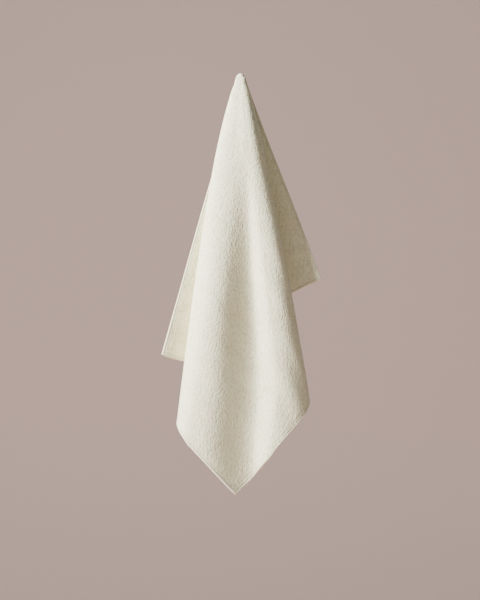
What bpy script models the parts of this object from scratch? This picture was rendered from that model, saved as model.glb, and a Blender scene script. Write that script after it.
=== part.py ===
"""Face towel of cream terry cloth, 510 x 300 mm, hung by one point of its long edge.

The towel is one rectangle of cloth with a narrow hem all round. It hangs by the point of its top
long edge that is 290 mm from the left end, and the cloth falls from there in folds that fan out
like rays. Every ray keeps its true length, so the four corners hang where a real towel's would:
one low in front, one to the left, one to the right, and one hidden behind the front panel.

Axes: X to the right, Y back to the wall side, Z up. The origin is the top of the gathered cloth.
"""

import math
from typing import NamedTuple

import bmesh
import bpy

# The flat towel, in metres
LONG_EDGE = 0.510
SHORT_EDGE = 0.300
HELD_FROM_LEFT = 0.290
HELD_FROM_RIGHT = LONG_EDGE - HELD_FROM_LEFT

# The cloth and its hem
CLOTH_THICKNESS = 0.0027
HEM_THICKNESS = 0.0032
HEM_RIM_THICKNESS = 0.0012
HEM_RIM = 0.0010
STITCH_LINE = 0.0031
STITCH_LINE_THICKNESS = 0.0018
HEM_WIDTH = 0.0055

# How the layers are pressed together at the top and stand apart lower down
SQUEEZED_SHARE = 0.5
SQUEEZE_ENDS = 0.090
GAP_AT_TOP = 0.0003
GAP_LOW_DOWN = 0.0013
GAP_OPENS_OVER = 0.250

# The soft waves that all layers share, with a crest under the right ridge of the front
WAVE_HEIGHT = 0.0014
WAVE_LENGTH = 0.065
WAVE_CREST = 0.040

# Where the folds form, below the tip
FOLDS_START = 0.060
FOLDS_FORMED = 0.270
MEASURED_AT = 0.300
DRIFTS_OVER = 0.100

# The rounded tip, a small bunch of gathered cloth that all the layers run into
TIP_HEIGHT = 0.012
TIP_FIRST_RING = 0.004
BUNCH_RADII = (0.0053, 0.0064, 0.0080)
ARC_STARTS_OVER = 0.150

CREAM = (0.86, 0.83, 0.74, 1.0)
MM = 0.001


class Line(NamedTuple):
    """One line down the cloth, from the tip to the far hem."""

    name: str
    kind: str  # "flat" where the cloth runs sideways, "fold" where it turns back
    cloth_deg: float  # its angle on the flat towel, from the left half of the long edge
    across: float  # mm to the right of the tip, 300 mm below it
    growth: float  # the power by which that grows with the distance from the tip
    layer: float  # the layer that it lies in, counted from the wall side
    bulge_top: float = 0.0  # mm by which it stands forward of its layer near the tip
    bulge_low: float = 0.0  # and where the folds are fully formed
    drift: float = 0.0  # mm further to the right that it moves in the last part of the drop
    late: float = 1.0  # above 1, the run to the next line starts gently and ends steep
    start: float = 0.0  # mm to the right of the middle at which it leaves the tip
    inset: float = 0.0  # half layers by which it lies inside that place, at a fold's shoulder


def tight_fold(name, cloth_deg, across, growth, layer_before, layer_after):
    """A fold pressed flat between two neighbouring layers: a shoulder, the fold, a shoulder."""
    inward = -math.copysign(1.0, across)
    half_turn_deg = 1.2
    middle = (layer_before + layer_after) / 2
    before = Line(name + " in", "flat", cloth_deg - half_turn_deg, across, growth, layer_before)
    after = Line(name + " out", "flat", cloth_deg + half_turn_deg, across, growth, layer_after)
    return [
        before._replace(inset=inward),
        Line(name, "fold", cloth_deg, across, growth, middle),
        after._replace(inset=inward),
    ]


# The cloth angle of the low corner in front, and of the one hidden behind it
LOW_CORNER_DEG = math.degrees(math.atan2(SHORT_EDGE, HELD_FROM_LEFT))
HIDDEN_CORNER_DEG = 180.0 - math.degrees(math.atan2(SHORT_EDGE, HELD_FROM_RIGHT))

LINES = [
    #    name           kind    cloth  across growth layer  bulges    drift
    Line("left hem", "flat", 0.0, -80.5, 1.00, 5, 0.0, 7.5),
    Line("left flap", "flat", 7.0, -53.0, 0.90, 5),
    *tight_fold("behind the middle", 18.5, 14.0, 1.00, 5, 6),
    Line("front left in", "flat", 32.5, -50.0, 0.80, 6),
    Line("front left", "fold", 34.4, -55.2, 0.68, 6.5, 1.0, 2.0),
    Line("left ridge", "flat", 38.8, -38.5, 1.15, 7, 5.0, 15.5, -3.6, 1.25),
    Line("valley", "flat", 48.2, 15.5, 0.85, 7, 5.6, 1.2, -8.8),
    Line("right ridge", "flat", 52.1, 36.2, 1.00, 7, 5.3, 7.5, -16.8),
    Line("front right", "fold", 65.0, 62.4, 0.88, 5.1, 0.5, 4.0, -3.0, 1.0, 3.5),
    Line("front right out", "flat", 66.6, 57.0, 0.88, 4, 0.0, 0.0, 0.0, 1.0, 3.0),
    *tight_fold("back left, first", 90.0, -49.0, 0.66, 4, 3),
    *tight_fold("back right", 115.0, 57.0, 0.90, 3, 2),
    *tight_fold("back left, second", 141.0, -48.0, 0.66, 2, 1),
    Line("right flap", "flat", 160.0, 36.0, 1.00, 1),
    Line("right hem", "flat", 180.0, 108.8, 1.00, 1, 0.0, 3.0, 0.0, 1.0, 3.2),
]

# Grid steps between one line and the next, and down the cloth
STEPS_FLAT = 6
STEPS_TURN = 3
STEPS_DOWN = 19
HEM_STARTS_DEG = 4.0


def ease(share):
    """A smooth step from 0 to 1."""
    share = min(max(share, 0.0), 1.0)
    return share * share * (3.0 - 2.0 * share)


def mix(a, b, share):
    return a + (b - a) * share


def cloth_share(distance):
    """The cloth's thickness at a distance from the tip, as a share of its thickness lower down."""
    return mix(SQUEEZED_SHARE, 1.0, ease(distance / SQUEEZE_ENDS))


def layer_pitch(distance):
    """How far apart the middles of two neighbouring layers are."""
    gap = mix(GAP_AT_TOP, GAP_LOW_DOWN, ease(distance / GAP_OPENS_OVER))
    return CLOTH_THICKNESS * cloth_share(distance) + gap


def folds_formed(distance):
    return ease((distance - FOLDS_START) / (FOLDS_FORMED - FOLDS_START))


def place_of(stop, distance):
    """(across, forward of the wall side) of a line at a distance from the tip."""
    pitch = layer_pitch(distance)
    grown = (distance / MEASURED_AT) ** stop.growth
    across = mix(stop.start, stop.across, grown) * MM
    across += stop.drift * MM * ease((distance - MEASURED_AT) / DRIFTS_OVER)
    across += stop.inset * pitch / 2
    bulge = mix(stop.bulge_top, stop.bulge_low, folds_formed(distance)) * MM
    forward = (stop.layer - 0.5) * pitch + bulge * ease(distance / FOLDS_START)
    return across, forward


def round_to_fold(flat, fold, share):
    """A point on the quarter of an ellipse from a flat line to a fold, that share of its length along."""
    wide, deep = abs(fold[0] - flat[0]), abs(fold[1] - flat[1])
    flatness = max(1.0 - deep / wide, 0.0)
    turn = math.pi / 2 * share ** (1.0 + 0.25 * flatness)
    return mix(flat[0], fold[0], math.sin(turn)), mix(fold[1], flat[1], math.cos(turn))


def between(first, last, share, distance):
    """A point between two lines: an eased run between flat ones, a quarter of an ellipse at a fold."""
    here, there = place_of(first, distance), place_of(last, distance)
    if first.kind == "fold":
        return round_to_fold(there, here, 1.0 - share)
    if last.kind == "fold":
        return round_to_fold(here, there, share)
    return mix(here[0], there[0], share), mix(here[1], there[1], ease(share**first.late))


def wave(across, distance):
    turns = (across - WAVE_CREST) / WAVE_LENGTH
    return WAVE_HEIGHT * folds_formed(distance) * math.cos(2 * math.pi * turns)


def tip_share(distance):
    """How wide the gathered cloth is in the rounded tip, as a share of its width below."""
    return math.sqrt(1.0 - (1.0 - min(distance / TIP_HEIGHT, 1.0)) ** 2)


# The tip's middle is over the origin
WALL_SIDE = 3.5 * layer_pitch(TIP_HEIGHT)


def hang(cloth_deg, distance):
    """Where the point of the cloth in that direction, that far from the tip, hangs."""
    after = next(i for i, stop in enumerate(LINES) if stop.cloth_deg >= cloth_deg and i > 0)
    first, last = LINES[after - 1], LINES[after]
    share = (cloth_deg - first.cloth_deg) / (last.cloth_deg - first.cloth_deg)
    below_tip = max(distance, TIP_HEIGHT)
    across, forward = between(first, last, share, below_tip)
    forward += wave(across, below_tip)
    across *= tip_share(distance)
    back = (WALL_SIDE - forward) * tip_share(distance)
    straight_down = math.sqrt(max(distance**2 - across**2 - back**2, 0.0))
    drop = mix(distance, straight_down, ease(distance / ARC_STARTS_OVER))
    return across, back, -drop


def far_hem(cloth_deg):
    """(reach, depth) of the flat towel in a direction: the distance to the far edge along the ray,
    and the distance of that edge from the held point, square to the edge."""
    angle = math.radians(cloth_deg)
    reaches = [(SHORT_EDGE / max(math.sin(angle), 1e-6), SHORT_EDGE)]
    side = math.cos(angle)
    if side > 1e-6:
        reaches.append((HELD_FROM_LEFT / side, HELD_FROM_LEFT))
    elif side < -1e-6:
        reaches.append((HELD_FROM_RIGHT / -side, HELD_FROM_RIGHT))
    return min(reaches)


STEPS_SOFT_FOLD = 7


def column_angles():
    """The cloth angles of the grid's columns, with one exactly at each far corner."""
    angles = [0.0]
    for first, last in zip(LINES, LINES[1:]):
        steps = STEPS_TURN if "fold" in (first.kind, last.kind) else STEPS_FLAT
        if last.cloth_deg - first.cloth_deg > 5.0:
            steps = max(steps, STEPS_SOFT_FOLD)
        angles += [mix(first.cloth_deg, last.cloth_deg, (i + 1) / steps) for i in range(steps)]
    for corner in (LOW_CORNER_DEG, HIDDEN_CORNER_DEG):
        nearest = min(range(len(angles)), key=lambda i: abs(angles[i] - corner))
        angles[nearest] = corner
    return angles


# Distances in from an edge where the hem's thickness changes, and the thickness there
HEM_STEPS = [
    (0.0, HEM_RIM_THICKNESS),
    (HEM_RIM, HEM_THICKNESS),
    (2 * HEM_RIM, HEM_THICKNESS),
    (STITCH_LINE, STITCH_LINE_THICKNESS),
    (HEM_WIDTH, CLOTH_THICKNESS),
]


def thickness_at(from_edge):
    for (near, thick_near), (far, thick_far) in zip(HEM_STEPS, HEM_STEPS[1:]):
        if from_edge <= far:
            return mix(thick_near, thick_far, (from_edge - near) / (far - near))
    return CLOTH_THICKNESS


def sheet_points():
    """The grid of (cloth angle, distance, thickness), column by column."""
    side_hem = [offset for offset, _ in HEM_STEPS]
    angles = column_angles()
    hem_left = [HEM_STARTS_DEG * i / 4 for i in range(5)]
    hem_right = [180.0 - angle for angle in reversed(hem_left)]
    inner = [a for a in angles if HEM_STARTS_DEG + 0.5 < a < 179.5 - HEM_STARTS_DEG]
    columns = []
    for place, angle in enumerate(hem_left + inner + hem_right):
        from_left = place
        from_right = len(hem_left + inner + hem_right) - 1 - place
        number = min(from_left, from_right)
        offset = side_hem[number] if number < 5 else None
        columns.append(sheet_column(angle, offset))
    return columns


def sheet_column(nominal_deg, side_offset):
    reach, depth = far_hem(nominal_deg)
    scales = [1.0 - offset / depth for offset, _ in reversed(HEM_STEPS)]
    start, end = TIP_FIRST_RING, scales[0] * reach
    rows = [mix(start, end, (i / STEPS_DOWN) ** 1.25) for i in range(STEPS_DOWN)]
    rows += [scale * reach for scale in scales]
    column = []
    for distance in rows:
        cloth_deg = nominal_deg
        if side_offset is not None:
            band_deg = math.degrees(math.asin(min(side_offset / distance, 1.0)))
            from_side = min(nominal_deg, 180.0 - nominal_deg)
            from_side = min(from_side, band_deg)
            cloth_deg = from_side if nominal_deg < 90.0 else 180.0 - from_side
        angle = math.radians(cloth_deg)
        from_far = depth - distance * depth / reach
        from_side_edge = distance * math.sin(angle)
        thick = min(thickness_at(from_far), thickness_at(from_side_edge) if distance > 0.05 else 1.0)
        thick = min(thick, HEM_THICKNESS) * cloth_share(distance)
        column.append((cloth_deg, distance, thick))
    return column


def make_cloth(name):
    """The sheet as a grid hung on its folds, with its thickness kept in a vertex group."""
    columns = sheet_points()
    rows = len(columns[0])
    mesh = bpy.data.meshes.new(name)
    sheet = bmesh.new()
    bmesh.ops.create_grid(sheet, x_segments=len(columns) - 1, y_segments=rows - 1, size=0.5)
    across = len(columns) - 1
    down = rows - 1
    thickness = sheet.verts.layers.deform.verify()
    for vert in sheet.verts:
        column = columns[round((vert.co.x + 0.5) * across)]
        cloth_deg, distance, thick = column[round((0.5 - vert.co.y) * down)]
        vert.co = hang(cloth_deg, distance)
        narrow = tip_share(distance)
        vert[thickness][0] = max(min(thick / HEM_THICKNESS * narrow, 1.0), 0.001)
    bmesh.ops.recalc_face_normals(sheet, faces=sheet.faces)
    for face in sheet.faces:
        face.smooth = True
    sheet.to_mesh(mesh)
    sheet.free()
    return bpy.data.objects.new(name, mesh)


def make_bunch(name):
    """The rounded tip, as a helper that the cloth is joined to."""
    mesh = bpy.data.meshes.new(name)
    ball = bmesh.new()
    bmesh.ops.create_uvsphere(ball, u_segments=24, v_segments=14, radius=1.0)
    bmesh.ops.scale(ball, vec=BUNCH_RADII, verts=ball.verts)
    bmesh.ops.translate(ball, vec=(0.0, 0.0, -BUNCH_RADII[2]), verts=ball.verts)
    for face in ball.faces:
        face.smooth = True
    ball.to_mesh(mesh)
    ball.free()
    return bpy.data.objects.new(name, mesh)


def terry_material():
    terry = bpy.data.materials.new("cream_terry")
    terry.use_nodes = True
    shader = terry.node_tree.nodes["Principled BSDF"]
    shader.inputs["Base Color"].default_value = CREAM
    shader.inputs["Roughness"].default_value = 0.95
    shader.inputs["Metallic"].default_value = 0.0
    terry.diffuse_color = CREAM
    return terry


def main():
    for old in list(bpy.data.objects):
        bpy.data.objects.remove(old, do_unlink=True)
    collection = bpy.data.collections.new("face_towel")
    bpy.context.scene.collection.children.link(collection)

    towel = make_cloth("towel")
    collection.objects.link(towel)
    towel.data.materials.append(terry_material())
    towel.vertex_groups.new(name="thickness")
    solid = towel.modifiers.new("thickness", "SOLIDIFY")
    solid.thickness = HEM_THICKNESS
    solid.offset = 0.0
    solid.use_even_offset = False
    solid.vertex_group = "thickness"
    solid.thickness_vertex_group = 0.0

    helpers = bpy.data.collections.new("face_towel_helpers")
    bpy.context.scene.collection.children.link(helpers)
    bunch = make_bunch("bunch")
    helpers.objects.link(bunch)
    bunch.hide_render = True
    bunch.display_type = "WIRE"
    joined = towel.modifiers.new("tip", "BOOLEAN")
    joined.operation = "UNION"
    joined.solver = "EXACT"
    joined.object = bunch


main()
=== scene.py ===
# %% [markdown]
# # A terry face towel hung by one point
#
# The towel is one rectangle of looped cotton cloth with a stitched hem. It hangs by one point of
# its long edge, so all its folds run down from that point like rays. This file makes the cloth as
# one thin sheet laid on those folds, then its stitches, its pile and its light.

import math
from typing import NamedTuple

import bmesh
import bpy
from mathutils import Matrix, Vector, noise


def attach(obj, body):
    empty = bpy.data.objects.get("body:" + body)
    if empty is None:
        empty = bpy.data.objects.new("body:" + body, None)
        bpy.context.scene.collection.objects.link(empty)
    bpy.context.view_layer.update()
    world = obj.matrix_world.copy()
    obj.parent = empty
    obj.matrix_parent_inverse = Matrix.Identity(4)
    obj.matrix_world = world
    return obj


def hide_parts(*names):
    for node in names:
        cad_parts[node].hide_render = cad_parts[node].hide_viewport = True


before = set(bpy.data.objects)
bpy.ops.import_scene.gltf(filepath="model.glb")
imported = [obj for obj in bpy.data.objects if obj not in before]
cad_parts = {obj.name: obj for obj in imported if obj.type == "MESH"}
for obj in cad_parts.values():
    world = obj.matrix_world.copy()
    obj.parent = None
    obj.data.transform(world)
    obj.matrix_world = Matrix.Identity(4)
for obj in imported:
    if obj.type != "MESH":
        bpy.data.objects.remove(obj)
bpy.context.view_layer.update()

# %% [markdown]
# ## The flat towel
#
# A maker starts from the cut cloth, and so does this file. Every point of the cloth is named by
# its place on the flat towel, in metres: how far it is from the left edge, and how far from the
# edge that hangs at the top. The hem, the stitches and the pile all use those two numbers, so they
# follow the cloth into its folds.

# %% Sizes of the cloth
LONG_EDGE = 0.510
SHORT_EDGE = 0.300
HELD_FROM_LEFT = 0.290
HELD_FROM_RIGHT = LONG_EDGE - HELD_FROM_LEFT
CLOTH_THICKNESS = 0.0027
HEM_THICKNESS = 0.0031
RIM_WIDTH = 0.0014
MM = 0.001

LOW_CORNER_DEG = math.degrees(math.atan2(SHORT_EDGE, HELD_FROM_LEFT))
HIDDEN_CORNER_DEG = 180.0 - math.degrees(math.atan2(SHORT_EDGE, HELD_FROM_RIGHT))
print(f"low corner in front at {LOW_CORNER_DEG:.1f} degrees, hidden one at {HIDDEN_CORNER_DEG:.1f}")

# %% [markdown]
# ## The folds
#
# From the held point, each direction on the flat cloth is a ray, and a ray stays nearly straight
# when the cloth hangs. The table below has one row for each ridge, valley and fold: its direction
# on the flat cloth, where it hangs 300 mm below the tip, and the layer it lies in, counted from
# the back. Between two rows the cloth runs smoothly from one to the other, and at a fold it turns
# round a quarter of an ellipse.

# %% The table of ridges, valleys and folds
class Line(NamedTuple):
    """One line down the cloth, from the tip to the far hem."""

    name: str
    kind: str  # "flat" where the cloth runs sideways, "fold" where it turns back
    cloth_deg: float  # its angle on the flat towel, from the left half of the long edge
    across: float  # mm to the right of the tip, 300 mm below it
    growth: float  # the power by which that grows with the distance from the tip
    layer: float  # the layer that it lies in, counted from the back
    bulge_top: float = 0.0  # mm by which it stands forward of its layer near the tip
    bulge_low: float = 0.0  # and where the folds are fully formed
    drift: float = 0.0  # mm further to the right that it moves in the last part of the drop
    late: float = 1.0  # above 1, the run to the next line starts gently and ends steep
    start: float = 0.0  # mm to the right of the middle at which it leaves the tip
    inset: float = 0.0  # half layers by which it lies inside that place, at a fold's shoulder


HALF_TURN_DEG = 1.2


def tight_fold(name, cloth_deg, across, growth, layer_before, layer_after):
    """A fold pressed flat between two neighbouring layers: a shoulder, the fold, a shoulder."""
    inward = -math.copysign(1.0, across)
    middle = (layer_before + layer_after) / 2
    before = Line(name + " in", "flat", cloth_deg - HALF_TURN_DEG, across, growth, layer_before)
    after = Line(name + " out", "flat", cloth_deg + HALF_TURN_DEG, across, growth, layer_after)
    return [
        before._replace(inset=inward),
        Line(name, "fold", cloth_deg, across, growth, middle),
        after._replace(inset=inward),
    ]


LINES = [
    #    name           kind    cloth  across growth layer  bulges    drift  late  start
    Line("left hem", "flat", 0.0, -80.5, 1.00, 5, 0.0, 7.5),
    Line("left flap", "flat", 7.0, -53.0, 0.90, 5),
    *tight_fold("behind the middle", 18.5, 14.0, 1.00, 5, 6),
    Line("front left in", "flat", 32.5, -50.0, 0.80, 6),
    Line("front left", "fold", 34.4, -55.2, 0.68, 6.5, 1.0, 2.0),
    Line("left ridge", "flat", 38.8, -38.5, 1.15, 7, 5.0, 15.5, -2.8, 1.25),
    Line("valley", "flat", 48.2, 15.5, 0.85, 7, 5.6, 1.2, -8.8),
    Line("right ridge", "flat", 52.1, 36.2, 1.00, 7, 5.3, 7.5, -16.8),
    Line("front right", "fold", 65.0, 62.4, 0.88, 5.1, 0.5, 4.0, -3.0, 1.0, 3.5),
    Line("front right out", "flat", 66.6, 57.0, 0.88, 4, 0.0, 0.0, 0.0, 1.0, 3.0),
    *tight_fold("back left, first", 90.0, -49.0, 0.66, 4, 3),
    *tight_fold("back right", 115.0, 57.0, 0.90, 3, 2),
    *tight_fold("back left, second", 141.0, -48.0, 0.66, 2, 1),
    Line("right flap", "flat", 160.0, 36.0, 1.00, 1),
    Line("right hem", "flat", 180.0, 108.8, 1.00, 1, 0.0, 3.0, 0.0, 1.0, 3.2),
]
print(len(LINES), "lines down the cloth, from", LINES[0].name, "to", LINES[-1].name)

# %% [markdown]
# ## The layers
#
# The folded cloth lies in seven layers. They are pressed thin and close where they gather, and open
# a little lower down, where the ridges also start to stand forward. The distances here are
# measured along the cloth from the tip.

# %% How the layers lie
LAYERS = 7
SQUEEZED_SHARE = 0.5  # of the cloth's thickness, at the tip
SQUEEZE_ENDS = 0.090
GAP_AT_TOP = 0.0003
GAP_LOW_DOWN = 0.0013
GAP_OPENS_OVER = 0.250
FOLDS_START = 0.060
FOLDS_FORMED = 0.270
MEASURED_AT = 0.300  # the distance at which the table gives each line's place
DRIFTS_OVER = 0.100


def ease(share):
    """A smooth step from 0 to 1."""
    share = min(max(share, 0.0), 1.0)
    return share * share * (3.0 - 2.0 * share)


def mix(a, b, share):
    return a + (b - a) * share


def cloth_share(distance):
    """The cloth's thickness at a distance from the tip, as a share of its thickness lower down."""
    return mix(SQUEEZED_SHARE, 1.0, ease(distance / SQUEEZE_ENDS))


def layer_pitch(distance):
    """How far apart the middles of two neighbouring layers are."""
    gap = mix(GAP_AT_TOP, GAP_LOW_DOWN, ease(distance / GAP_OPENS_OVER))
    return CLOTH_THICKNESS * cloth_share(distance) + gap


def folds_formed(distance):
    """How far the ridges and valleys have grown there, from 0 to 1."""
    return ease((distance - FOLDS_START) / (FOLDS_FORMED - FOLDS_START))


print(f"the layers are {1000 * layer_pitch(MEASURED_AT):.1f} mm apart low down")


# %% Where a line of the table hangs
def place_of(stop, distance):
    """(across, forward of the back) of a line at a distance from the tip."""
    pitch = layer_pitch(distance)
    grown = (distance / MEASURED_AT) ** stop.growth
    across = mix(stop.start, stop.across, grown) * MM
    across += stop.drift * MM * ease((distance - MEASURED_AT) / DRIFTS_OVER)
    across += stop.inset * pitch / 2
    bulge = mix(stop.bulge_top, stop.bulge_low, folds_formed(distance)) * MM
    forward = (stop.layer - 0.5) * pitch + bulge * ease(distance / FOLDS_START)
    return across, forward


FOLD_FLATTENING = 0.25


def round_to_fold(flat, fold, share):
    """A point on the quarter of an ellipse from a flat line to a fold, that share of its length along."""
    wide, deep = abs(fold[0] - flat[0]), abs(fold[1] - flat[1])
    flatness = max(1.0 - deep / wide, 0.0)
    turn = math.pi / 2 * share ** (1.0 + FOLD_FLATTENING * flatness)
    return mix(flat[0], fold[0], math.sin(turn)), mix(fold[1], flat[1], math.cos(turn))


def between(first, last, share, distance):
    """A point between two lines: an eased run between flat ones, a quarter of an ellipse at a fold."""
    here, there = place_of(first, distance), place_of(last, distance)
    if first.kind == "fold":
        return round_to_fold(there, here, 1.0 - share)
    if last.kind == "fold":
        return round_to_fold(here, there, share)
    return mix(here[0], there[0], share), mix(here[1], there[1], ease(share**first.late))


# %% [markdown]
# ## Uneven cloth
#
# Real cloth is never as smooth as a table of numbers. A little noise, stretched along the rays,
# gives the panels the faint dents and swells that cotton keeps from the wash, and a finer one
# makes the pile stand a little higher here and lower there. Blender's noise gives the same value
# for the same point each time, so every run makes the same towel.

# %% Dents and swells
WAVE_HEIGHT = 0.0014
WAVE_LENGTH = 0.065
WAVE_CREST = 0.040
DENT_HEIGHT = 0.0009
DENT_LENGTH = 0.085
DENT_WIDTH = 0.020
DENT_SEED = 3.7
PILE_UNEVEN = 0.00022
PILE_PATCH = 0.0042
PILE_SEED = 8.1


def wave(across, distance):
    """A slow swell from side to side, with its crest a little to the right of the middle."""
    turns = (across - WAVE_CREST) / WAVE_LENGTH
    return WAVE_HEIGHT * folds_formed(distance) * math.cos(2 * math.pi * turns)


def dents(u, v, distance):
    """How far the whole thickness of cloth is pushed forward there."""
    place = Vector((u / DENT_WIDTH, v / DENT_LENGTH, DENT_SEED))
    return DENT_HEIGHT * folds_formed(distance) * noise.noise(place)


def pile_swell(u, v):
    """How much thicker the pile is there."""
    return PILE_UNEVEN * noise.noise(Vector((u / PILE_PATCH, v / PILE_PATCH, PILE_SEED)))


print(f"dents up to {1000 * DENT_HEIGHT:.1f} mm, pile uneven by {1000 * PILE_UNEVEN:.2f} mm")

# %% [markdown]
# ## Hanging a point of the cloth
#
# This is the heart of the file: it takes a point of the flat cloth and says where it hangs. A
# cloth simulation could do it too, but it would find its own folds, and these have to lie where
# the table puts them. The last lines keep each point about as far from the held point as it is on
# the flat cloth, so that the folds don't lengthen it.

# %% Hang a point
TIP_HEIGHT = 0.012
FIRST_RING = 0.004
TUCKED_IN = 0.78
TUCK_ENDS = 0.014
ARC_STARTS_OVER = 0.150
MIDDLE_DEPTH = LAYERS / 2 * layer_pitch(TIP_HEIGHT)


def tip_share(distance):
    """How wide the gathered cloth is in the rounded tip, as a share of its width below."""
    rounded = math.sqrt(1.0 - (1.0 - min(distance / TIP_HEIGHT, 1.0)) ** 2)
    return rounded * mix(TUCKED_IN, 1.0, ease((distance - FIRST_RING) / TUCK_ENDS))


def flat_place(cloth_deg, distance):
    """(u, v) on the flat towel: from its left edge, and from its top edge."""
    angle = math.radians(cloth_deg)
    return HELD_FROM_LEFT - distance * math.cos(angle), distance * math.sin(angle)


def hang(cloth_deg, distance):
    """Where the point of the cloth in that direction, that far from the tip, hangs."""
    after = next(i for i, stop in enumerate(LINES) if stop.cloth_deg >= cloth_deg and i > 0)
    first, last = LINES[after - 1], LINES[after]
    share = (cloth_deg - first.cloth_deg) / (last.cloth_deg - first.cloth_deg)
    below_tip = max(distance, TIP_HEIGHT)
    across, forward = between(first, last, share, below_tip)
    forward += wave(across, below_tip)
    forward += dents(*flat_place(cloth_deg, distance), below_tip)
    across *= tip_share(distance)
    back = (MIDDLE_DEPTH - forward) * tip_share(distance)
    straight_down = math.sqrt(max(distance**2 - across**2 - back**2, 0.0))
    drop = mix(distance, straight_down, ease(distance / ARC_STARTS_OVER))
    return Vector((across, back, -drop))


low_corner = hang(LOW_CORNER_DEG, math.hypot(HELD_FROM_LEFT, SHORT_EDGE))
print("low corner hangs at", [round(1000 * c, 1) for c in low_corner], "mm")

# %% [markdown]
# ## The hem
#
# The hem is the cut edge turned over and sewn down. Its outside is a narrow rounded rim, a little
# thicker than the cloth. Inside the rim is the groove where the thread pulls the cloth in, and
# then a low bank where the turned edge ends. A separate strip could stand for it, but it would
# part from the cloth where the folds turn. So it is part of the sheet: this table gives the
# thickness at each distance from the edge.

# %% Thickness near an edge
class Band(NamedTuple):
    from_edge: float
    thickness: float


HEM = [
    Band(0.0000, 0.0021),
    Band(0.0003, 0.0028),
    Band(0.0007, HEM_THICKNESS),
    Band(0.0012, HEM_THICKNESS),
    Band(0.0018, 0.0026),
    Band(0.0026, 0.0022),
    Band(0.0033, 0.0026),
    Band(0.0042, 0.0029),
    Band(0.0050, 0.0024),
    Band(0.0058, 0.0027),
    Band(0.0090, CLOTH_THICKNESS),
]


def thickness_at(from_edge):
    for near, far in zip(HEM, HEM[1:]):
        if from_edge <= far.from_edge:
            share = (from_edge - near.from_edge) / (far.from_edge - near.from_edge)
            return mix(near.thickness, far.thickness, share)
    return CLOTH_THICKNESS


def edge_distance(u, v):
    return min(u, LONG_EDGE - u, v, SHORT_EDGE - v)


# %% [markdown]
# ## The sheet
#
# The cloth is a grid: columns are rays from the held point, and rows go down them. Close to an
# edge the rows and columns follow the hem's bands, so that its groove is sharp. The columns are
# close together where the cloth is seen and turns, and wide apart in the hidden layers. The grid
# is only the middle of the cloth. Solidify then gives it two faces, and a vertex group tells it
# how thick the cloth is at each point.

# %% Columns of the grid
SEEN_FROM_DEG = 32.0
SEEN_TO_DEG = 66.0
STEPS_SEEN = 26
STEPS_ON_FLAP = 30
STEPS_HIDDEN = 14
LONG_FOLD_DEG = 4.0
STEPS_LONG_FOLD = 14
STEPS_TIGHT_FOLD = 6


def steps_between(first, last):
    """How many columns lie between two lines of the table."""
    if "fold" in (first.kind, last.kind):
        long = last.cloth_deg - first.cloth_deg > LONG_FOLD_DEG
        return STEPS_LONG_FOLD if long else STEPS_TIGHT_FOLD
    if first.cloth_deg >= SEEN_FROM_DEG and last.cloth_deg <= SEEN_TO_DEG:
        return STEPS_SEEN
    return STEPS_ON_FLAP if last.name in ("left flap", "right hem") else STEPS_HIDDEN


def column_angles():
    """The direction of each column on the flat cloth, with one column on each far corner."""
    angles = [0.0]
    for first, last in zip(LINES, LINES[1:]):
        steps = steps_between(first, last)
        angles += [mix(first.cloth_deg, last.cloth_deg, (i + 1) / steps) for i in range(steps)]
    for corner in (LOW_CORNER_DEG, HIDDEN_CORNER_DEG):
        nearest = min(range(len(angles)), key=lambda i: abs(angles[i] - corner))
        angles[nearest] = corner
    return angles


HEM_STARTS_DEG = 5.0
INNER_FROM_DEG = HEM_STARTS_DEG + 0.2
HEM_COLUMNS = [HEM_STARTS_DEG * i / (len(HEM) - 1) for i in range(len(HEM))]
INNER_COLUMNS = [a for a in column_angles() if INNER_FROM_DEG < a < 180.0 - INNER_FROM_DEG]
COLUMNS = HEM_COLUMNS + INNER_COLUMNS + [180.0 - a for a in reversed(HEM_COLUMNS)]
print(len(COLUMNS), "columns")


# %% Rows of the grid
ROWS_DOWN = 118
ROW_CROWDING = 1.15  # above 1, the rows are closer together near the tip
ALMOST_NONE = 1e-6


def far_hem(cloth_deg):
    """(reach, depth) in a direction: along the ray to the far edge, and square to that edge."""
    angle = math.radians(cloth_deg)
    reaches = [(SHORT_EDGE / max(math.sin(angle), ALMOST_NONE), SHORT_EDGE)]
    side = math.cos(angle)
    if side > ALMOST_NONE:
        reaches.append((HELD_FROM_LEFT / side, HELD_FROM_LEFT))
    elif side < -ALMOST_NONE:
        reaches.append((HELD_FROM_RIGHT / -side, HELD_FROM_RIGHT))
    return min(reaches)


def column_of_cloth(number):
    """The (cloth angle, distance) of each row of one column."""
    nominal = COLUMNS[number]
    from_side = min(number, len(COLUMNS) - 1 - number)
    reach, depth = far_hem(nominal)
    hem_rows = [reach * (1.0 - band.from_edge / depth) for band in reversed(HEM)]
    rows = [mix(FIRST_RING, hem_rows[0], (i / ROWS_DOWN) ** ROW_CROWDING) for i in range(ROWS_DOWN)]
    column = []
    for distance in rows + hem_rows:
        cloth_deg = nominal
        if from_side < len(HEM):
            band_deg = math.degrees(math.asin(min(HEM[from_side].from_edge / distance, 1.0)))
            inside = min(nominal, 180.0 - nominal, band_deg)
            cloth_deg = inside if nominal < 90.0 else 180.0 - inside
        column.append((cloth_deg, distance))
    return column


print(ROWS_DOWN + len(HEM), "rows in each column")


# %% The sheet's thickness
HEM_PLAIN_ABOVE = 0.03  # nearer the tip than this, the hem is lost in the gathers
THINNED_AT_TIP = 0.85


def local_thickness(u, v, distance):
    near_edge = edge_distance(u, v)
    thick = thickness_at(near_edge) if distance > HEM_PLAIN_ABOVE else CLOTH_THICKNESS
    thick += pile_swell(u, v) * ease(near_edge / HEM[-1].from_edge)
    return thick * cloth_share(distance) * mix(THINNED_AT_TIP, 1.0, tip_share(distance))


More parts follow.
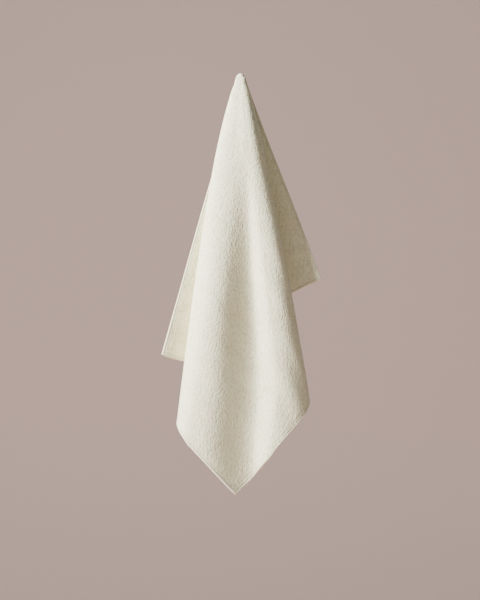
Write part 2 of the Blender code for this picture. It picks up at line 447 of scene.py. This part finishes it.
print(f"cloth {1000 * CLOTH_THICKNESS:.1f} mm thick, {1000 * HEM_THICKNESS:.1f} mm in the hem's rim")


# %% Hang the sheet
def add_piece(name, shape):
    """Make a bmesh an object of the scene."""
    mesh = bpy.data.meshes.new(name)
    shape.to_mesh(mesh)
    shape.free()
    piece = bpy.data.objects.new(name, mesh)
    bpy.context.scene.collection.objects.link(piece)
    return piece


def make_sheet(name):
    grid = [column_of_cloth(number) for number in range(len(COLUMNS))]
    across, down = len(grid) - 1, len(grid[0]) - 1
    sheet = bmesh.new()
    bmesh.ops.create_grid(sheet, x_segments=across, y_segments=down, size=0.5, calc_uvs=True)
    uv = sheet.loops.layers.uv.verify()
    thickness = sheet.verts.layers.deform.verify()
    flat = {}
    for vert in sheet.verts:
        place = grid[round((vert.co.x + 0.5) * across)][round((0.5 - vert.co.y) * down)]
        u, v = flat_place(*place)
        flat[vert.index] = (u, v)
        vert.co = hang(*place)
        vert[thickness][0] = min(local_thickness(u, v, place[1]) / HEM_THICKNESS, 1.0)
    for face in sheet.faces:
        face.smooth = True
        for loop in face.loops:
            loop[uv].uv = flat[loop.vert.index]
    bmesh.ops.recalc_face_normals(sheet, faces=sheet.faces)
    return add_piece(name, sheet)


towel = make_sheet("towel_cloth")
towel.vertex_groups.new(name="thickness")
wall = towel.modifiers.new("thickness", "SOLIDIFY")
wall.thickness = HEM_THICKNESS
wall.offset = 0.0
wall.vertex_group = "thickness"
wall.thickness_vertex_group = 0.0
print(len(towel.data.polygons), "faces on the middle of the sheet")

# %% [markdown]
# ## The tip
#
# At the top, all the layers gather to one small rounded bunch. It is a ball with shallow pleats,
# which closes the hole that the rays would leave round the held point. The cloth is drawn in
# against it, so that the two read as one rounded tip.

# %% Bunch at the tip
BUNCH_RADII = Vector((0.0050, 0.0046, 0.0070))
PLEATS = 7.0
PLEAT_DEPTH = 0.020
PILE_FROM = (0.25, 0.15)  # the place on the flat cloth whose pile the bunch shows


def make_bunch(name):
    ball = bmesh.new()
    bmesh.ops.create_uvsphere(ball, u_segments=64, v_segments=36, radius=1.0, calc_uvs=True)
    for vert in ball.verts:
        pleat = math.cos(PLEATS * math.pi * vert.co.y) * (1.0 - abs(vert.co.z))
        vert.co *= 1.0 + PLEAT_DEPTH * pleat * abs(vert.co.x)
    bmesh.ops.scale(ball, vec=BUNCH_RADII, verts=ball.verts)
    bmesh.ops.translate(ball, vec=(0.0, 0.0, -BUNCH_RADII.z), verts=ball.verts)
    uv = ball.loops.layers.uv.verify()
    for face in ball.faces:
        face.smooth = True
        for loop in face.loops:
            place = loop.vert.co
            loop[uv].uv = (PILE_FROM[0] + place.x, PILE_FROM[1] - place.z)
    return add_piece(name, ball)


bunch = make_bunch("gathered_tip")
print("tip is", [round(2000 * r, 1) for r in BUNCH_RADII], "mm across, deep and high")

# %% [markdown]
# ## The stitches
#
# The hem is sewn with a straight machine stitch in the cloth's own colour. A line of bump would do
# from far off, but a raised thread catches the light, so each stitch is a short rounded bar that
# lies in the groove, on both faces of the cloth. It is placed by its point on the flat towel, so
# the row follows every fold.

# %% Stitches along the hem
STITCH_LINE = 0.0026
STITCH_LENGTH = 0.0026
STITCH_SPACING = 0.0031
THREAD_RADIUS = 0.00028
THREAD_SUNK = 0.3  # of its radius, into the pile
BARE_AT_TIP = 0.045  # no stitch shows in the gathers
SIDE_STEP = 0.001


def hung_from_flat(u, v):
    """Where the point (u, v) of the flat cloth hangs."""
    across = u - HELD_FROM_LEFT
    return hang(math.degrees(math.atan2(v, -across)), math.hypot(across, v))


def stitch_places():
    """(u, v, direction on the flat cloth) of each stitch, round the towel."""
    inner_long = LONG_EDGE - 2 * STITCH_LINE
    inner_short = SHORT_EDGE - 2 * STITCH_LINE
    sides = [
        (STITCH_LINE, STITCH_LINE, 1.0, 0.0, inner_long),
        (LONG_EDGE - STITCH_LINE, STITCH_LINE, 0.0, 1.0, inner_short),
        (LONG_EDGE - STITCH_LINE, SHORT_EDGE - STITCH_LINE, -1.0, 0.0, inner_long),
        (STITCH_LINE, SHORT_EDGE - STITCH_LINE, 0.0, -1.0, inner_short),
    ]
    places = []
    for u, v, along_u, along_v, length in sides:
        count = int(length / STITCH_SPACING)
        for i in range(count):
            way = (i + 0.5) * length / count
            places.append((u + along_u * way, v + along_v * way, along_u, along_v))
    return places


def add_stitch(sewing, u, v, along_u, along_v, face_sign):
    """One stitch on one face of the cloth, as a small ball drawn out along the hem."""
    step = STITCH_LENGTH / 2
    start = hung_from_flat(u - along_u * step, v - along_v * step)
    end = hung_from_flat(u + along_u * step, v + along_v * step)
    middle = hung_from_flat(u, v)
    aside = hung_from_flat(u - along_v * SIDE_STEP, v + along_u * SIDE_STEP)
    along = (end - start).normalized()
    outward = along.cross(aside - middle).normalized() * face_sign
    distance = math.hypot(u - HELD_FROM_LEFT, v)
    lift = local_thickness(u, v, distance) / 2 - THREAD_SUNK * THREAD_RADIUS
    turn = Matrix((along.cross(outward), outward, along)).transposed().to_4x4()
    place = Matrix.Translation(middle + outward * lift) @ turn
    size = Matrix.Diagonal((THREAD_RADIUS, THREAD_RADIUS, (end - start).length / 2, 1.0))
    bmesh.ops.create_icosphere(sewing, subdivisions=1, radius=1.0, matrix=place @ size)


def make_stitches(name):
    sewing = bmesh.new()
    for u, v, along_u, along_v in stitch_places():
        if math.hypot(u - HELD_FROM_LEFT, v) < BARE_AT_TIP:
            continue
        for face_sign in (-1.0, 1.0):
            add_stitch(sewing, u, v, along_u, along_v, face_sign)
    for face in sewing.faces:
        face.smooth = True
    return add_piece(name, sewing)


stitches = make_stitches("hem_stitches")
print(len(stitches.data.polygons), "faces in the stitches")

# %% [markdown]
# ## Terry cloth
#
# Terry is woven with thousands of small cotton loops on both faces. From a step away they read as
# a fine grain: tiny bright heads with dark gaps between them, in rows along the length of the
# towel. Neighbouring loops lean together in clumps, which give the soft broken grain seen from
# further off, and larger patches lean another way and are a little greener or warmer. The loops
# and the patches are built from the cloth's own flat coordinates, in metres, so they have their
# real size and follow the folds. The clumps use the hanging piece's own coordinates. Loops of
# real geometry would take millions of faces, so they are bump and colour here, and the dark gaps
# and the low clumps are painted shade in the colour.

# %% Node helpers
def add_node(tree, kind, **settings):
    node = tree.nodes.new(kind)
    for key, value in settings.items():
        setattr(node, key, value)
    return node


def math_node(tree, operation, first, second=None, clamp=False):
    node = add_node(tree, "ShaderNodeMath", operation=operation, use_clamp=clamp)
    for socket, value in zip(node.inputs, (first, second)):
        if isinstance(value, (int, float)):
            socket.default_value = value
        elif value is not None:
            tree.links.new(value, socket)
    return node.outputs[0]


def scaled_pattern(tree, coordinates, scale):
    node = add_node(tree, "ShaderNodeMapping")
    node.inputs["Scale"].default_value = scale
    tree.links.new(coordinates, node.inputs["Vector"])
    return node.outputs["Vector"]


def noise_pattern(tree, vector, detail=2.0, roughness=0.5):
    node = add_node(tree, "ShaderNodeTexNoise")
    node.inputs["Scale"].default_value = 1.0
    node.inputs["Detail"].default_value = detail
    node.inputs["Roughness"].default_value = roughness
    tree.links.new(vector, node.inputs["Vector"])
    return node.outputs["Fac"]


def colour_ramp(tree, value, stops):
    node = add_node(tree, "ShaderNodeValToRGB")
    ramp = node.color_ramp
    while len(ramp.elements) < len(stops):
        ramp.elements.new(0.5)
    for element, (position, colour) in zip(ramp.elements, stops):
        element.position = position
        element.color = colour
    tree.links.new(value, node.inputs["Fac"])
    return node.outputs["Color"]


def mix_colours(tree, share, first, second, blend="MIX"):
    node = add_node(tree, "ShaderNodeMix", data_type="RGBA", blend_type=blend)
    for socket, value in ((node.inputs[0], share), (node.inputs[6], first), (node.inputs[7], second)):
        if isinstance(value, (int, float, tuple)):
            socket.default_value = value
        else:
            tree.links.new(value, socket)
    return node.outputs[2]


def diagonal_bands(tree, vector, distortion=0.0):
    node = add_node(tree, "ShaderNodeTexWave", wave_type="BANDS", bands_direction="DIAGONAL")
    node.inputs["Scale"].default_value = 1.0
    node.inputs["Distortion"].default_value = distortion
    tree.links.new(vector, node.inputs["Vector"])
    return node.outputs["Fac"]


def weighted_sum(tree, *parts):
    """The sum of some values, each times its weight."""
    total = None
    for value, weight in parts:
        part = math_node(tree, "MULTIPLY", value, weight)
        total = part if total is None else math_node(tree, "ADD", total, part)
    return total


def add_bump(tree, shader, height, strength, distance):
    bump = add_node(tree, "ShaderNodeBump")
    bump.inputs["Strength"].default_value = strength
    bump.inputs["Distance"].default_value = distance
    tree.links.new(height, bump.inputs["Height"])
    tree.links.new(bump.outputs["Normal"], shader.inputs["Normal"])


def new_material(name):
    """(material, node tree, shader) of a new material."""
    material = bpy.data.materials.new(name)
    material.use_nodes = True
    return material, material.node_tree, material.node_tree.nodes["Principled BSDF"]


# %% Sizes and colours of the pile
LOOPS_A_METRE = 620.0
ROWS_A_METRE = 540.0
CLUMPS_A_METRE = (500.0, 500.0, 250.0)
LEANS_A_METRE = (90.0, 30.0, 1.0)
PATCHES_A_METRE = (60.0, 40.0, 1.0)
WEAVE_A_METRE = (420.0, 420.0, 1.0)
GROOVE_HALF_WIDTH = 0.0013
CREAM_LIGHT = (0.970, 0.945, 0.690, 1.0)
# The deeper cream below is painted shade, for the gaps between loop heads and the low clumps.
CREAM_PAINTED_SHADE = (0.720, 0.690, 0.470, 1.0)
HEM_CREAM = (0.910, 0.810, 0.600, 1.0)
# Painted shade along the hem's groove: darker on every hem, whatever the light.
GROOVE_PAINTED_SHADE = (0.76, 0.80, 0.77, 1.0)
GREENER = (0.975, 1.000, 0.965, 1.0)
WARMER = (1.000, 0.970, 0.940, 1.0)
WHITE = (1.0, 1.0, 1.0, 1.0)
print(f"{LOOPS_A_METRE * ROWS_A_METRE / 1e6:.2f} loops on a square millimetre")


# %% Where the hem and its groove are
def from_edge_value(tree, uv_socket):
    """The distance to the nearest edge of the flat towel, in metres."""
    split = add_node(tree, "ShaderNodeSeparateXYZ")
    tree.links.new(uv_socket, split.inputs[0])
    u, v = split.outputs["X"], split.outputs["Y"]
    from_right = math_node(tree, "SUBTRACT", LONG_EDGE, u)
    from_bottom = math_node(tree, "SUBTRACT", SHORT_EDGE, v)
    side = math_node(tree, "MINIMUM", u, from_right)
    end = math_node(tree, "MINIMUM", v, from_bottom)
    return math_node(tree, "MINIMUM", side, end)


def band_share(tree, from_edge, middle, half_width):
    """A value that is 1 on a line that far from the edge and falls to 0 at its sides."""
    off = math_node(tree, "ABSOLUTE", math_node(tree, "SUBTRACT", from_edge, middle))
    return math_node(tree, "SUBTRACT", 1.0, math_node(tree, "DIVIDE", off, half_width), clamp=True)


# %% The pile's loops, relief and colour
def loop_heads(tree, flat_uv):
    """A cell for each loop: 1 in the middle of its head, and less round it."""
    cells = add_node(tree, "ShaderNodeTexVoronoi", feature="F1", voronoi_dimensions="2D")
    cells.inputs["Scale"].default_value = 1.0
    cells.inputs["Randomness"].default_value = 0.85
    rows = scaled_pattern(tree, flat_uv, (LOOPS_A_METRE, ROWS_A_METRE, 1.0))
    tree.links.new(rows, cells.inputs["Vector"])
    return math_node(tree, "SUBTRACT", 1.0, cells.outputs["Distance"], clamp=True)


def terry_height(tree, flat_uv, heads, clumps, lean, on_hem):
    """The relief: loops on the pile, a flat weave on the hem."""
    on_pile = math_node(tree, "SUBTRACT", 1.0, on_hem)
    pile = weighted_sum(tree, (heads, 0.55), (clumps, 1.7), (lean, 0.7))
    weave = diagonal_bands(tree, scaled_pattern(tree, flat_uv, WEAVE_A_METRE), 1.5)
    hem = math_node(tree, "MULTIPLY", weave, 0.18)
    return weighted_sum(tree, (pile, on_pile), (hem, on_hem))


def terry_colour(tree, flat_uv, heads, clumps, lean, on_hem, in_groove):
    """The colour: light heads over painted shade in the gaps, large tinted patches, a plain hem with
    painted shade in its groove.
    """
    # Low values, in the gaps between loop heads and in the low clumps, get painted shade: the deeper
    # cream.
    shade = weighted_sum(tree, (heads, 0.35), (clumps, 0.80), (lean, 0.25))
    pile = colour_ramp(tree, shade, [(0.46, CREAM_PAINTED_SHADE), (0.80, CREAM_LIGHT)])
    patches = noise_pattern(tree, scaled_pattern(tree, flat_uv, PATCHES_A_METRE), 2.0, 0.5)
    patch_tint = colour_ramp(tree, patches, [(0.35, GREENER), (0.65, WARMER)])
    pile = mix_colours(tree, 1.0, pile, patch_tint, "MULTIPLY")
    colour = mix_colours(tree, on_hem, pile, HEM_CREAM)
    # the groove is darkened with painted shade
    groove_painted_shade = mix_colours(tree, in_groove, WHITE, GROOVE_PAINTED_SHADE)
    return mix_colours(tree, 1.0, colour, groove_painted_shade, "MULTIPLY")


# %% The terry material
TERRY_SOCKETS = {
    "Metallic": 0.0,
    "Specular IOR Level": 0.25,
    "Sheen Weight": 0.35,
    "Sheen Roughness": 0.55,
    "Sheen Tint": (1.0, 0.985, 0.95, 1.0),
}


def terry_material(name):
    material, tree, shader = new_material(name)
    coordinates = add_node(tree, "ShaderNodeTexCoord")
    flat_uv = coordinates.outputs["UV"]
    hung = coordinates.outputs["Object"]
    heads = loop_heads(tree, flat_uv)
    clumps = noise_pattern(tree, scaled_pattern(tree, hung, CLUMPS_A_METRE), 2.5, 0.55)
    lean = noise_pattern(tree, scaled_pattern(tree, flat_uv, LEANS_A_METRE), 2.0, 0.55)
    from_edge = from_edge_value(tree, flat_uv)
    on_hem = math_node(tree, "MULTIPLY", band_share(tree, from_edge, 0.0, RIM_WIDTH), 2.0, clamp=True)
    in_groove = band_share(tree, from_edge, STITCH_LINE, GROOVE_HALF_WIDTH)

    height = terry_height(tree, flat_uv, heads, clumps, lean, on_hem)
    add_bump(tree, shader, height, strength=0.42, distance=0.0009)
    colour = terry_colour(tree, flat_uv, heads, clumps, lean, on_hem, in_groove)
    tree.links.new(colour, shader.inputs["Base Color"])
    rough = math_node(tree, "ADD", math_node(tree, "MULTIPLY", clumps, 0.12), 0.84)
    tree.links.new(rough, shader.inputs["Roughness"])
    for socket, value in TERRY_SOCKETS.items():
        shader.inputs[socket].default_value = value
    material.diffuse_color = CREAM_LIGHT
    return material


terry = terry_material("cream_terry_pile")
towel.data.materials.append(terry)
bunch.data.materials.append(terry)
print(len(terry.node_tree.nodes), "nodes in the terry")

# %% [markdown]
# ## Thread
#
# Sewing thread is two or three strands twisted together, so it shows slanting bands. At this size
# one wave pattern does for both its colour and its relief: its colour is light on each strand, with
# painted shade between them. It is a little smoother than the pile, and so a little shinier.

# %% The thread material
THREAD_LIGHT = (0.90, 0.885, 0.82, 1.0)
# The deeper thread colour below is painted shade, between the strands.
THREAD_PAINTED_SHADE = (0.74, 0.72, 0.65, 1.0)
TWISTS_A_METRE = (1400.0, 1400.0, 1400.0)


def thread_material(name):
    material, tree, shader = new_material(name)
    place = add_node(tree, "ShaderNodeTexCoord").outputs["Object"]
    twist = diagonal_bands(tree, scaled_pattern(tree, place, TWISTS_A_METRE))
    tree.links.new(mix_colours(tree, twist, THREAD_PAINTED_SHADE, THREAD_LIGHT), shader.inputs["Base Color"])
    add_bump(tree, shader, twist, strength=0.4, distance=0.0002)
    shader.inputs["Roughness"].default_value = 0.7
    return material


stitches.data.materials.append(thread_material("cream_thread"))

# %% [markdown]
# ## What each piece stands for
#
# The sheet replaces the CAD solid, which stays in the physics model. The tip and the stitches go
# with the sheet, and all three ride on the one body.

# %% Tie the pieces to the frame
for piece in (towel, bunch, stitches):
    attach(piece, "root")
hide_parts("towel")

# %% [markdown]
# ## Floor, light and camera
#
# A plain pale sweep stands well behind the towel and runs out under it as the floor. Floor and
# back join in a wide curve, because a sharp corner would draw a line across the picture. The main
# light is soft and fairly near, from the upper left, so that every slope that faces right falls
# into a gentle shade and the low corner is a little dimmer than the tip. The camera looks level
# and straight at the towel.

# %% Sweep
SWEEP_COLOUR = (0.72, 0.55, 0.49, 1.0)
SWEEP_ROUGHNESS = 0.95
FLOOR_Z = -0.95
FLOOR_FRONT_Y = -3.0
BACK_Y = 2.8
BACK_TOP_Z = 2.6
CORNER_RADIUS = 0.5
CORNER_STEPS = 16
SWEEP_WIDTH = 8.0


def sweep_profile():
    """(y, z) of the sweep's points, from the front of the floor to the top of the back."""
    points = [(FLOOR_FRONT_Y, FLOOR_Z)]
    for i in range(CORNER_STEPS + 1):
        turn = math.pi / 2 * i / CORNER_STEPS
        across = BACK_Y - CORNER_RADIUS + CORNER_RADIUS * math.sin(turn)
        points.append((across, FLOOR_Z + CORNER_RADIUS * (1 - math.cos(turn))))
    return points + [(BACK_Y, BACK_TOP_Z)]


def make_sweep(name):
    paper = bmesh.new()
    verts = [paper.verts.new((-SWEEP_WIDTH / 2, y, z)) for y, z in sweep_profile()]
    edges = [paper.edges.new(pair) for pair in zip(verts, verts[1:])]
    made = bmesh.ops.extrude_edge_only(paper, edges=edges)["geom"]
    moved = [item for item in made if isinstance(item, bmesh.types.BMVert)]
    bmesh.ops.translate(paper, vec=(SWEEP_WIDTH, 0.0, 0.0), verts=moved)
    for face in paper.faces:
        face.smooth = True
    return add_piece(name, paper)


sweep = make_sweep("sweep")
plain_paper, _, paper_shader = new_material("plain_paper")
paper_shader.inputs["Base Color"].default_value = SWEEP_COLOUR
paper_shader.inputs["Roughness"].default_value = SWEEP_ROUGHNESS
sweep.data.materials.append(plain_paper)


# %% Lights
class Lamp(NamedTuple):
    """One soft round light, which points at the middle of the towel."""

    name: str
    place: tuple
    size: float
    watts: float
    colour: tuple = (1.0, 1.0, 1.0)


TOWEL_MIDDLE = Vector((0.0, 0.0, -0.21))
LAMPS = [
    Lamp("main_light", (-1.22, -0.66, 0.50), 0.48, 115.0, (1.0, 0.985, 0.96)),
    Lamp("front_fill", (0.6, -2.0, 0.1), 1.8, 3.0),
    Lamp("back_fill", (0.4, 1.4, 0.4), 1.4, 8.0),
]
WORLD_COLOUR = (0.94, 1.0, 0.94, 1.0)
WORLD_STRENGTH = 0.10


def add_light(lamp):
    data = bpy.data.lights.new(lamp.name, "AREA")
    data.shape = "DISK"
    data.size = lamp.size
    data.energy = lamp.watts
    data.color = lamp.colour
    light = bpy.data.objects.new(lamp.name, data)
    light.location = lamp.place
    light.rotation_mode = "QUATERNION"
    light.rotation_quaternion = (TOWEL_MIDDLE - Vector(lamp.place)).to_track_quat("-Z", "Y")
    bpy.context.scene.collection.objects.link(light)


for lamp in LAMPS:
    add_light(lamp)
world = bpy.data.worlds.new("studio")
world.use_nodes = True
world.node_tree.nodes["Background"].inputs["Color"].default_value = WORLD_COLOUR
world.node_tree.nodes["Background"].inputs["Strength"].default_value = WORLD_STRENGTH
bpy.context.scene.world = world
print(len(LAMPS), "lights,", sum(lamp.watts for lamp in LAMPS), "watts in all")

# %% Camera
PIXEL = 0.9925 * MM
PHOTO_WIDTH, PHOTO_HEIGHT = 480, 600
TIP_PIXEL = (240.5, 73.5)
CAMERA_DISTANCE = 2.6
SENSOR_WIDTH = 36.0

camera_data = bpy.data.cameras.new("camera")
camera_data.sensor_width = SENSOR_WIDTH
camera_data.lens = SENSOR_WIDTH * CAMERA_DISTANCE / (PHOTO_HEIGHT * PIXEL)
camera = bpy.data.objects.new("camera", camera_data)
camera.location = (
    (PHOTO_WIDTH / 2 - TIP_PIXEL[0]) * PIXEL,
    -CAMERA_DISTANCE,
    -(PHOTO_HEIGHT / 2 - TIP_PIXEL[1]) * PIXEL,
)
camera.rotation_euler = (math.pi / 2, 0.0, 0.0)
bpy.context.scene.collection.objects.link(camera)
bpy.context.scene.camera = camera
print(f"lens {camera_data.lens:.1f} mm, {CAMERA_DISTANCE} m away")
